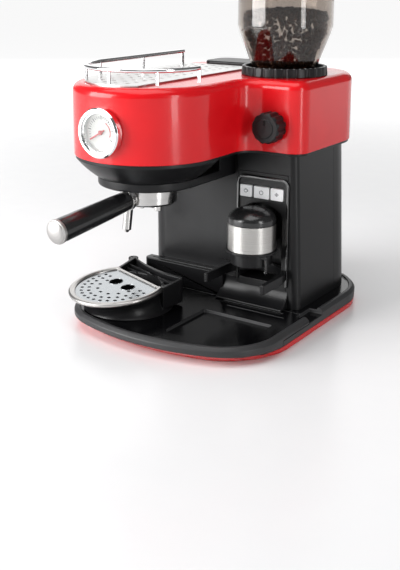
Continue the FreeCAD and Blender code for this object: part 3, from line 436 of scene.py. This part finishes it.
# painted shade of the sunk deck: the height it lies below, its darkened colour, and its gloss
deckShadeAndGloss = {"height": 21.0, "colour": (0.0025, 0.0025, 0.003), "gloss": 0.12}
paintDeckShade(materials["rimBlack"], deckShadeAndGloss["colour"], deckShadeAndGloss["gloss"])
# painted glow on the worktop, rising with distance from the machine
fade = materials["worktop"].node_tree.nodes.new("ShaderNodeGroup")
fade.node_tree = groups["fade"]
worktopShader = materials["worktop"].node_tree.nodes["Principled BSDF"]
materials["worktop"].node_tree.links.new(fade.outputs["Glow"], worktopShader.inputs["Emission Color"])
worktopShader.inputs["Emission Strength"].default_value = viewSetup["farGlow"]
print("materials:", len(materials))

# which finish each CAD node takes
finishOf = {
    "base_skirt": "glossRed", "rubber_feet": "rubber", "case_screws": "plateSteel",
    "base_frame": "rimBlack", "ledge_rail": "satinBlack", "tower_front_shell": "satinBlack",
    "tower_rear_cover": "satinBlack", "column_panel": "satinBlack", "control_bezel": "glossBlack",
    "portafilter_fork": "satinBlack", "chute_sleeve": "sleeveSteel", "grounds_chute": "satinBlack",
    "head_underside": "satinBlack", "brew_ring": "satinBlack", "group_head": "castAlloy",
    "group_gasket": "rubber", "shower_screen": "plateSteel", "upper_housing": "glossRed",
    "gauge_bezel": "chrome", "gauge_dial": "dialCard", "gauge_glass": "gaugeClear",
    "cup_warmer_plate": "plateSteel", "cup_rail": "chrome", "grinder_casing": "castAlloy",
    "upper_burr": "burrSteel", "grinder_motor": "castAlloy", "boiler": "brass", "pump": "satinBlack",
    "water_tubes": "silicone", "control_board": "boardGreen", "power_inlet": "satinBlack",
    "steam_valve": "brass", "front_tray": "rimBlack", "tray_hinge_pin": "plateSteel",
    "drip_bowl": "satinBlack", "drip_ring": "ringSteel", "drip_plate": "gridSteel",
    "button_cup": "whiteButton", "button_power": "whiteButton", "button_steam": "whiteButton",
    "grind_switch_lever": "glossBlack", "chute_cap": "gripBlack", "portafilter_body": "polished",
    "filter_basket": "plateSteel", "twin_spout": "polished", "handle_grip": "gripBlack",
    "handle_end_cap": "capSteel", "steam_pipe": "chrome", "steam_sleeve": "polished",
    "steam_knob": "satinBlack", "valve_needle": "brass", "gauge_needle": "redPrint",
    "grind_dial": "satinBlack", "bean_hopper": "smokedClear", "hopper_lid": "satinBlack",
    "water_tank": "waterClear", "tank_outlet": "rubber", "tank_lid": "satinBlack",
    "motor_shaft": "plateSteel", "lower_burr": "burrSteel",
}

for name, finish in finishOf.items():
    mesh = nodes[name].data
    mesh.materials.clear()
    mesh.materials.append(materials[finish])
print("finished CAD nodes:", len(finishOf))

# ---- making pieces
bodyOf = {name: next(body for body, holder in frame["bodies"].items() if holder == node.parent)
          for name, node in nodes.items()}


def shadeSmooth(mesh, sharpAngle):
    for polygon in mesh.polygons:
        polygon.use_smooth = True
    mesh.set_sharp_from_angle(angle=math.radians(sharpAngle))


def addPiece(name, mesh, finish, body):
    mesh.materials.clear()
    mesh.materials.append(materials[finish])
    piece = bpy.data.objects.new(name, mesh)
    bpy.context.collection.objects.link(piece)
    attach(piece, body)
    return piece


def finishPiece(name, mesh, finish, body, sharpAngle=35):
    shadeSmooth(mesh, sharpAngle)
    return addPiece(name, mesh, finish, body)


def strokePiece(name, shape, finish, body):
    bmesh.ops.recalc_face_normals(shape, faces=shape.faces)
    mesh = bpy.data.meshes.new(name)
    shape.to_mesh(mesh)
    shape.free()
    return finishPiece(name, mesh, finish, body)


def asMesh(holder):
    # the evaluated result as a plain mesh; the helper object goes away
    bpy.context.view_layer.update()
    evaluated = holder.evaluated_get(bpy.context.evaluated_depsgraph_get())
    mesh = bpy.data.meshes.new_from_object(evaluated)
    bpy.data.objects.remove(holder)
    return mesh


# edges of moulded and turned parts are never knife sharp: radius of each, in millimetres
edgeRadius = {
    "base_frame": 0.9, "front_tray": 0.9, "base_skirt": 0.6, "ledge_rail": 1.0, "column_panel": 0.8,
    "control_bezel": 0.6, "portafilter_fork": 1.0, "brew_ring": 0.8, "drip_bowl": 1.0,
    "head_underside": 0.5, "tower_front_shell": 0.4, "tower_rear_cover": 0.4, "upper_housing": 0.8,
    "hopper_lid": 0.7, "tank_lid": 0.5, "grind_dial": 0.5, "steam_knob": 0.6, "drip_ring": 0.5,
    "cup_warmer_plate": 0.3, "power_inlet": 0.4, "portafilter_body": 0.4, "twin_spout": 0.4,
    "handle_grip": 0.5, "handle_end_cap": 0.4, "gauge_bezel": 0.4, "chute_sleeve": 0.35,
    "chute_cap": 0.5, "grounds_chute": 0.5, "button_cup": 0.3, "button_power": 0.3, "button_steam": 0.3,
    "steam_sleeve": 0.4, "bean_hopper": 0.5, "grind_switch_lever": 0.2,
}


# how a rounded copy is cleaned and bevelled; angles in degrees, the merge distance in millimetres
rounding = {"merge": 0.002, "flat": 0.4, "corner": 30, "sharp": 40, "segments": 2}


def roundedCopy(name, radius):
    shape = bmesh.new()
    shape.from_mesh(nodes[name].data)
    bmesh.ops.remove_doubles(shape, verts=shape.verts, dist=rounding["merge"] * mm)
    bmesh.ops.dissolve_limit(shape, angle_limit=math.radians(rounding["flat"]), verts=shape.verts,
                             edges=shape.edges)
    corners = [edge for edge in shape.edges
               if len(edge.link_faces) == 2 and edge.calc_face_angle() > math.radians(rounding["corner"])]
    bmesh.ops.bevel(shape, geom=corners, offset=radius * mm, offset_type="OFFSET",
                    segments=rounding["segments"], profile=0.5, affect="EDGES", clamp_overlap=False)
    bmesh.ops.triangulate(shape, faces=shape.faces)
    mesh = bpy.data.meshes.new(name + "-rounded")
    shape.to_mesh(mesh)
    shape.free()
    shadeSmooth(mesh, rounding["sharp"])
    holder = bpy.data.objects.new("rounding", mesh)
    bpy.context.collection.objects.link(holder)
    even = holder.modifiers.new("evenShade", "WEIGHTED_NORMAL")
    even.keep_sharp = True
    mesh = asMesh(holder)
    mesh.name = name + "-rounded"
    piece = addPiece(name + "-rounded", mesh, finishOf[name], bodyOf[name])
    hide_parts(name)


for name, radius in edgeRadius.items():
    roundedCopy(name, radius)
print("rounded parts:", len(edgeRadius))


# ---- symbols on the three buttons: thin raised strokes
buttonSymbols = {"stroke": 0.75, "proud": 0.1, "depth": 0.35, "size": 5.2}


def addStroke(shape, points, width, front, back, closed=False):
    # a flat ribbon of even width along points (x, z), with its own thickness from front to back in y
    count = len(points)
    rows = []
    for i, point in enumerate(points):
        before = points[i - 1] if (closed or i > 0) else point
        after = points[(i + 1) % count] if (closed or i < count - 1) else point
        way = (Vector(after) - Vector(before)).normalized()
        side = Vector((-way.y, way.x)) * width / 2
        one, two = Vector(point) + side, Vector(point) - side
        places = [(one.x, front, one.y), (one.x, back, one.y), (two.x, back, two.y), (two.x, front, two.y)]
        rows.append([shape.verts.new(place) for place in places])
    last = count if closed else count - 1
    for i in range(last):
        one, two = rows[i], rows[(i + 1) % count]
        for k in range(4):
            shape.faces.new((one[k], one[(k + 1) % 4], two[(k + 1) % 4], two[k]))
    if not closed:
        shape.faces.new(rows[0][::-1])
        shape.faces.new(rows[-1])


def arcPoints(centre, radius, start, end, count):
    turns = [math.radians(start + (end - start) * i / (count - 1)) for i in range(count)]
    return [(centre[0] + radius * math.cos(t), centre[1] + radius * math.sin(t)) for t in turns]


# each stroke: its points across half the symbol's size, and whether it closes on itself
cupOutline = [(-1.0, 0.55), (-0.85, -0.35), (-0.5, -0.75), (0.35, -0.75), (0.65, -0.35), (0.75, 0.55)]
symbolStrokes = {
    "button_cup": [(cupOutline, True), (arcPoints((0.72, 0.02), 0.42, 75, -75, 9), False),
                   ([(-0.2, 0.85), (-0.2, 1.15)], False), ([(0.2, 0.85), (0.2, 1.15)], False)],
    "button_power": [(arcPoints((0, 0), 0.95, 120, 420, 22), False), ([(0, 0.35), (0, 1.2)], False)],
    "button_steam": [([(0, 0.95), (-0.95, 0.1), (0, -0.75), (0.95, 0.1)], True),
                     (arcPoints((0, 0.1), 0.32, 0, 330, 12), True)],
}
for name, strokes in symbolStrokes.items():
    low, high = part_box(name)
    middle = (low + high) / 2
    shape = bmesh.new()
    half = buttonSymbols["size"] / 2 * mm
    for points, closed in strokes:
        placed = [(middle.x + x * half, middle.z + z * half) for x, z in points]
        addStroke(shape, placed, buttonSymbols["stroke"] * mm, low.y - buttonSymbols["proud"] * mm,
                  low.y + buttonSymbols["depth"] * mm, closed)
    strokePiece(name + "-symbol", shape, "greyPrint", bodyOf[name])
print("button symbols:", len(symbolStrokes))


# ---- repeated details, made by node trees
def startTree(name, inputs):
    tree = bpy.data.node_groups.new(name, "GeometryNodeTree")
    tree.interface.new_socket("Geometry", in_out="INPUT", socket_type="NodeSocketGeometry")
    for label, kind, value in inputs:
        socket = tree.interface.new_socket(label, in_out="INPUT", socket_type=kind)
        socket.default_value = value
    tree.interface.new_socket("Geometry", in_out="OUTPUT", socket_type="NodeSocketGeometry")
    return tree, tree.nodes.new("NodeGroupInput"), tree.nodes.new("NodeGroupOutput")


def endTree(tree, result, geometry, finish):
    realize = tree.nodes.new("GeometryNodeRealizeInstances")
    paint = tree.nodes.new("GeometryNodeSetMaterial")
    paint.inputs["Material"].default_value = materials[finish]
    tree.links.new(geometry, realize.inputs[0])
    tree.links.new(realize.outputs[0], paint.inputs["Geometry"])
    tree.links.new(paint.outputs["Geometry"], result.inputs[0])


def runTree(tree, values, start=None):
    mesh = start or bpy.data.meshes.new("start")
    holder = bpy.data.objects.new("treeRun", mesh)
    bpy.context.collection.objects.link(holder)
    modifier = holder.modifiers.new("tree", "NODES")
    modifier.node_group = tree
    for item in tree.interface.items_tree:
        if item.in_out == "INPUT" and item.name in values:
            modifier[item.identifier] = values[item.name]
    return asMesh(holder)


def radialMarksTree(finish):
    # short bars set round a circle in the XY plane, the first one at the angle "Start"
    tree, given, result = startTree("radialMarks" + finish, [
        ("Radius", "NodeSocketFloat", 0.018), ("Count", "NodeSocketInt", 9),
        ("Sweep", "NodeSocketFloat", 240.0),
        ("Start", "NodeSocketFloat", 0.0), ("Bar", "NodeSocketVector", (0.003, 0.0006, 0.0004))])
    link = tree.links.new
    line = tree.nodes.new("GeometryNodeMeshLine")
    line.mode = "OFFSET"
    line.inputs["Offset"].default_value = (0, 0, 0)
    link(given.outputs["Count"], line.inputs["Count"])
    bar = tree.nodes.new("GeometryNodeMeshCube")
    link(given.outputs["Bar"], bar.inputs["Size"])
    spread = tree.nodes.new("GeometryNodeInstanceOnPoints")
    link(line.outputs[0], spread.inputs["Points"])
    link(bar.outputs["Mesh"], spread.inputs["Instance"])
    index = tree.nodes.new("GeometryNodeInputIndex")
    less = tree.nodes.new("ShaderNodeMath")
    less.operation = "SUBTRACT"
    less.inputs[1].default_value = 1
    link(given.outputs["Count"], less.inputs[0])
    step = tree.nodes.new("ShaderNodeMath")
    step.operation = "DIVIDE"
    link(given.outputs["Sweep"], step.inputs[0])
    link(less.outputs[0], step.inputs[1])
    turn = tree.nodes.new("ShaderNodeMath")
    turn.operation = "MULTIPLY_ADD"
    link(index.outputs[0], turn.inputs[0])
    link(step.outputs[0], turn.inputs[1])
    link(given.outputs["Start"], turn.inputs[2])
    radians = tree.nodes.new("ShaderNodeMath")
    radians.operation = "RADIANS"
    link(turn.outputs[0], radians.inputs[0])
    angles = tree.nodes.new("ShaderNodeCombineXYZ")
    link(radians.outputs[0], angles.inputs["Z"])
    rotate = tree.nodes.new("GeometryNodeRotateInstances")
    link(spread.outputs[0], rotate.inputs["Instances"])
    link(angles.outputs[0], rotate.inputs["Rotation"])
    out = tree.nodes.new("ShaderNodeCombineXYZ")
    link(given.outputs["Radius"], out.inputs["X"])
    move = tree.nodes.new("GeometryNodeTranslateInstances")
    move.inputs["Local Space"].default_value = True
    link(rotate.outputs[0], move.inputs["Instances"])
    link(out.outputs[0], move.inputs["Translation"])
    endTree(tree, result, move.outputs[0], finish)
    return tree


def placedMesh(mesh, matrix):
    mesh.transform(matrix)
    mesh.update()
    return mesh


gaugeMarks = {"radius": 16.8, "sweep": 240, "start": -30.0, "count": 25, "bar": (2.6, 0.45, 0.3),
              "bigCount": 7, "bigBar": (4.2, 0.8, 0.3)}
gaugeBand = {"radius": 12.6, "from": 60, "to": -20, "points": 26, "width": 1.3, "proud": 0.15, "depth": 0.1}
low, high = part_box("gauge_dial")
dialCentre = Vector(((low.x + high.x) / 2, low.y, (low.z + high.z) / 2))
upright = Matrix.Translation(dialCentre) @ Matrix.Rotation(math.radians(90), 4, "X")
marksTree = radialMarksTree("blackPrint")
for label, count, bar in (("fine", gaugeMarks["count"], gaugeMarks["bar"]),
                          ("main", gaugeMarks["bigCount"], gaugeMarks["bigBar"])):
    mesh = runTree(marksTree, {
        "Radius": gaugeMarks["radius"] * mm, "Count": count, "Sweep": gaugeMarks["sweep"],
        "Start": gaugeMarks["start"], "Bar": tuple(v * mm for v in bar)})
    finishPiece("gauge-marks-" + label, placedMesh(mesh, upright), "blackPrint", bodyOf["gauge_dial"])

shape = bmesh.new()
band = arcPoints((dialCentre.x, dialCentre.z), gaugeBand["radius"] * mm, gaugeBand["from"], gaugeBand["to"],
                 gaugeBand["points"])
addStroke(shape, band, gaugeBand["width"] * mm, dialCentre.y - gaugeBand["proud"] * mm,
          dialCentre.y + gaugeBand["depth"] * mm)
strokePiece("gauge-band", shape, "redPrint", bodyOf["gauge_dial"])

dialMarks = {"radius": 50.2, "count": 19, "sweep": 150, "start": -165, "bar": (2.4, 0.6, 0.3)}
low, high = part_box("grind_dial")
dialTop = Matrix.Translation(((low.x + high.x) / 2, (low.y + high.y) / 2, high.z))
mesh = runTree(radialMarksTree("whiteButton"), {
    "Radius": dialMarks["radius"] * mm, "Count": dialMarks["count"], "Sweep": float(dialMarks["sweep"]),
    "Start": float(dialMarks["start"]), "Bar": tuple(v * mm for v in dialMarks["bar"])})
finishPiece("grind-dial-marks", placedMesh(mesh, dialTop), "whiteButton", bodyOf["grind_dial"])
print("gauge and dial marks ready")


# ---- coffee beans behind the smoked wall of the hopper
beans = {"gap": 4.6, "length": 9.5, "width": 6.8, "depth": 4.4, "seed": 7, "perArea": 60000}
# the heap they lie on: radius and height over the hopper's lowest point or the fill level, millimetres
heap = {"fill": 372, "sides": 40, "wall": ((29, 12), (47.5, 57)), "top": ((49.5, 0), (26, 4), (4, 6))}


def beansTree():
    tree, given, result = startTree("beanHeap", [
        ("Gap", "NodeSocketFloat", 0.006), ("Seed", "NodeSocketInt", 7),
        ("Bean Size", "NodeSocketVector", (0.0095, 0.0068, 0.0044))])
    link = tree.links.new
    scatter = tree.nodes.new("GeometryNodeDistributePointsOnFaces")
    scatter.distribute_method = "POISSON"
    scatter.inputs["Density Max"].default_value = beans["perArea"]
    link(given.outputs["Geometry"], scatter.inputs["Mesh"])
    link(given.outputs["Gap"], scatter.inputs["Distance Min"])
    link(given.outputs["Seed"], scatter.inputs["Seed"])
    ball = tree.nodes.new("GeometryNodeMeshUVSphere")
    ball.inputs["Segments"].default_value = 12
    ball.inputs["Rings"].default_value = 7
    ball.inputs["Radius"].default_value = 0.5
    # the crease down the flat side
    place = tree.nodes.new("GeometryNodeInputPosition")
    split = tree.nodes.new("ShaderNodeSeparateXYZ")
    link(place.outputs[0], split.inputs[0])
    across = tree.nodes.new("ShaderNodeMath")
    across.operation = "MULTIPLY"
    link(split.outputs["Y"], across.inputs[0])
    link(split.outputs["Y"], across.inputs[1])
    groove = tree.nodes.new("ShaderNodeMapRange")
    groove.inputs["From Min"].default_value = 0.0
    groove.inputs["From Max"].default_value = 0.02
    groove.inputs["To Min"].default_value = 0.18
    groove.inputs["To Max"].default_value = 0.0
    link(across.outputs[0], groove.inputs["Value"])
    sink = tree.nodes.new("ShaderNodeCombineXYZ")
    link(groove.outputs[0], sink.inputs["Z"])
    lower = tree.nodes.new("FunctionNodeCompare")
    lower.operation = "LESS_THAN"
    link(split.outputs["Z"], lower.inputs["A"])
    lower.inputs["B"].default_value = -0.05
    dent = tree.nodes.new("GeometryNodeSetPosition")
    link(ball.outputs["Mesh"], dent.inputs["Geometry"])
    link(lower.outputs[0], dent.inputs["Selection"])
    link(sink.outputs[0], dent.inputs["Offset"])
    smooth = tree.nodes.new("GeometryNodeSetShadeSmooth")
    link(dent.outputs[0], smooth.inputs["Geometry"])
    spread = tree.nodes.new("GeometryNodeInstanceOnPoints")
    link(scatter.outputs["Points"], spread.inputs["Points"])
    link(smooth.outputs[0], spread.inputs["Instance"])
    link(given.outputs["Bean Size"], spread.inputs["Scale"])
    tumble = tree.nodes.new("FunctionNodeRandomValue")
    tumble.data_type = "FLOAT_VECTOR"
    tumble.inputs["Min"].default_value = (0, 0, 0)
    tumble.inputs["Max"].default_value = (math.tau, math.tau, math.tau)
    link(given.outputs["Seed"], tumble.inputs["Seed"])
    link(tumble.outputs["Value"], spread.inputs["Rotation"])
    endTree(tree, result, spread.outputs[0], "beanBrown")
    return tree


low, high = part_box("bean_hopper")
hopperX, hopperY = (low.x + high.x) / 2, (low.y + high.y) / 2
heapRings = ([(radius, low.z + rise * mm) for radius, rise in heap["wall"]]
             + [(radius, (heap["fill"] + rise) * mm) for radius, rise in heap["top"]])
turns = [math.tau * i / heap["sides"] for i in range(heap["sides"])]
shape = bmesh.new()
rings = [[shape.verts.new((hopperX + radius * mm * math.cos(t), hopperY + radius * mm * math.sin(t), z))
          for t in turns] for radius, z in heapRings]
for lower, upper in zip(rings, rings[1:]):
    for i in range(heap["sides"]):
        after = (i + 1) % heap["sides"]
        shape.faces.new((lower[i], lower[after], upper[after], upper[i]))
heapMesh = bpy.data.meshes.new("heap")
shape.to_mesh(heapMesh)
shape.free()
mesh = runTree(beansTree(), {
    "Gap": beans["gap"] * mm, "Seed": beans["seed"],
    "Bean Size": (beans["length"] * mm, beans["width"] * mm, beans["depth"] * mm)}, heapMesh)
print("bean faces:", len(mesh.polygons))
finishPiece("coffee-beans", mesh, "beanBrown", bodyOf["bean_hopper"], 60)


# ---- pressed lips round the holes of the drip plate
plateHoles = {"rings": ((45, 30), (36, 22), (25, 12)), "lip": 2.3, "wire": 0.16,
              "tilt": 6.0, "turn": -19.6, "place": (-78, -108, 46)}
drains = {"apart": 13.6, "back": 6, "lip": 8.9, "wire": 0.4, "limit": 5, "reach": 2}


def holeLipsTree():
    tree, given, result = startTree("holeLips", [
        ("Ring Radius", "NodeSocketFloat", 0.045), ("Count", "NodeSocketInt", 30),
        ("Lip Radius", "NodeSocketFloat", 0.00175), ("Wire", "NodeSocketFloat", 0.0003),
        ("Back Limit", "NodeSocketFloat", 0.018), ("Drain Reach", "NodeSocketFloat", 0.0125),
        ("Drain Apart", "NodeSocketFloat", 0.0136), ("Drain Back", "NodeSocketFloat", 0.006)])
    link = tree.links.new
    circle = tree.nodes.new("GeometryNodeMeshCircle")
    link(given.outputs["Count"], circle.inputs["Vertices"])
    link(given.outputs["Ring Radius"], circle.inputs["Radius"])
    place = tree.nodes.new("GeometryNodeInputPosition")
    split = tree.nodes.new("ShaderNodeSeparateXYZ")
    link(place.outputs[0], split.inputs[0])
    behind = tree.nodes.new("FunctionNodeCompare")
    behind.operation = "GREATER_THAN"
    link(split.outputs["Y"], behind.inputs["A"])
    link(given.outputs["Back Limit"], behind.inputs["B"])
    folded = tree.nodes.new("ShaderNodeMath")
    folded.operation = "ABSOLUTE"
    link(split.outputs["X"], folded.inputs[0])
    here = tree.nodes.new("ShaderNodeCombineXYZ")
    link(folded.outputs[0], here.inputs["X"])
    link(split.outputs["Y"], here.inputs["Y"])
    drain = tree.nodes.new("ShaderNodeCombineXYZ")
    link(given.outputs["Drain Apart"], drain.inputs["X"])
    link(given.outputs["Drain Back"], drain.inputs["Y"])
    away = tree.nodes.new("ShaderNodeVectorMath")
    away.operation = "DISTANCE"
    link(here.outputs[0], away.inputs[0])
    link(drain.outputs[0], away.inputs[1])
    near = tree.nodes.new("FunctionNodeCompare")
    near.operation = "LESS_THAN"
    link(away.outputs["Value"], near.inputs["A"])
    link(given.outputs["Drain Reach"], near.inputs["B"])
    either = tree.nodes.new("FunctionNodeBooleanMath")
    either.operation = "OR"
    link(behind.outputs[0], either.inputs[0])
    link(near.outputs[0], either.inputs[1])
    drop = tree.nodes.new("GeometryNodeDeleteGeometry")
    drop.domain = "POINT"
    link(circle.outputs[0], drop.inputs["Geometry"])
    link(either.outputs[0], drop.inputs["Selection"])
    lip = tree.nodes.new("GeometryNodeCurvePrimitiveCircle")
    lip.inputs["Resolution"].default_value = 20
    link(given.outputs["Lip Radius"], lip.inputs["Radius"])
    wire = tree.nodes.new("GeometryNodeCurvePrimitiveCircle")
    wire.inputs["Resolution"].default_value = 8
    link(given.outputs["Wire"], wire.inputs["Radius"])
    body = tree.nodes.new("GeometryNodeCurveToMesh")
    link(lip.outputs[0], body.inputs["Curve"])
    link(wire.outputs[0], body.inputs["Profile Curve"])
    spread = tree.nodes.new("GeometryNodeInstanceOnPoints")
    link(drop.outputs[0], spread.inputs["Points"])
    link(body.outputs[0], spread.inputs["Instance"])
    endTree(tree, result, spread.outputs[0], "gridSteel")
    return tree


plateFrame = (Matrix.Translation(Vector(plateHoles["place"]) * mm)
              @ Matrix.Rotation(math.radians(plateHoles["turn"]), 4, "Z")
              @ Matrix.Rotation(math.radians(plateHoles["tilt"]), 4, "X"))
lipsTree = holeLipsTree()
for radius, count in plateHoles["rings"]:
    mesh = runTree(lipsTree, {
        "Ring Radius": radius * mm, "Count": count, "Lip Radius": plateHoles["lip"] * mm,
        "Wire": plateHoles["wire"] * mm})
    finishPiece("hole-lips-%d" % radius, placedMesh(mesh, plateFrame), "gridSteel", bodyOf["drip_plate"], 70)
# the two drains: a ring of four points, of which the front and back ones are dropped
mesh = runTree(lipsTree, {
    "Ring Radius": drains["apart"] * mm, "Count": 4, "Lip Radius": drains["lip"] * mm,
    "Wire": drains["wire"] * mm, "Drain Reach": drains["reach"] * mm, "Drain Apart": 0.0,
    "Drain Back": -drains["apart"] * mm, "Back Limit": drains["limit"] * mm})
aside = plateFrame @ Matrix.Translation((0, drains["back"] * mm, 0))
finishPiece("drain-lips", placedMesh(mesh, aside), "gridSteel", bodyOf["drip_plate"], 70)
print("drip plate lips ready")


# ---- pointer on the steam knob
knobPointer = {"from": 3.5, "to": 9.5, "width": 1.6, "depth": 0.4}
low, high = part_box("steam_knob")
knobX, knobZ = (low.x + high.x) / 2, (low.z + high.z) / 2
shape = bmesh.new()
addStroke(shape, [(knobX, knobZ + knobPointer["from"] * mm), (knobX, knobZ + knobPointer["to"] * mm)],
          knobPointer["width"] * mm, low.y, low.y + knobPointer["depth"] * mm)
strokePiece("steam-knob-pointer", shape, "whiteButton", bodyOf["steam_knob"])
print("knob pointer ready")


buildView()
print("view and light ready")
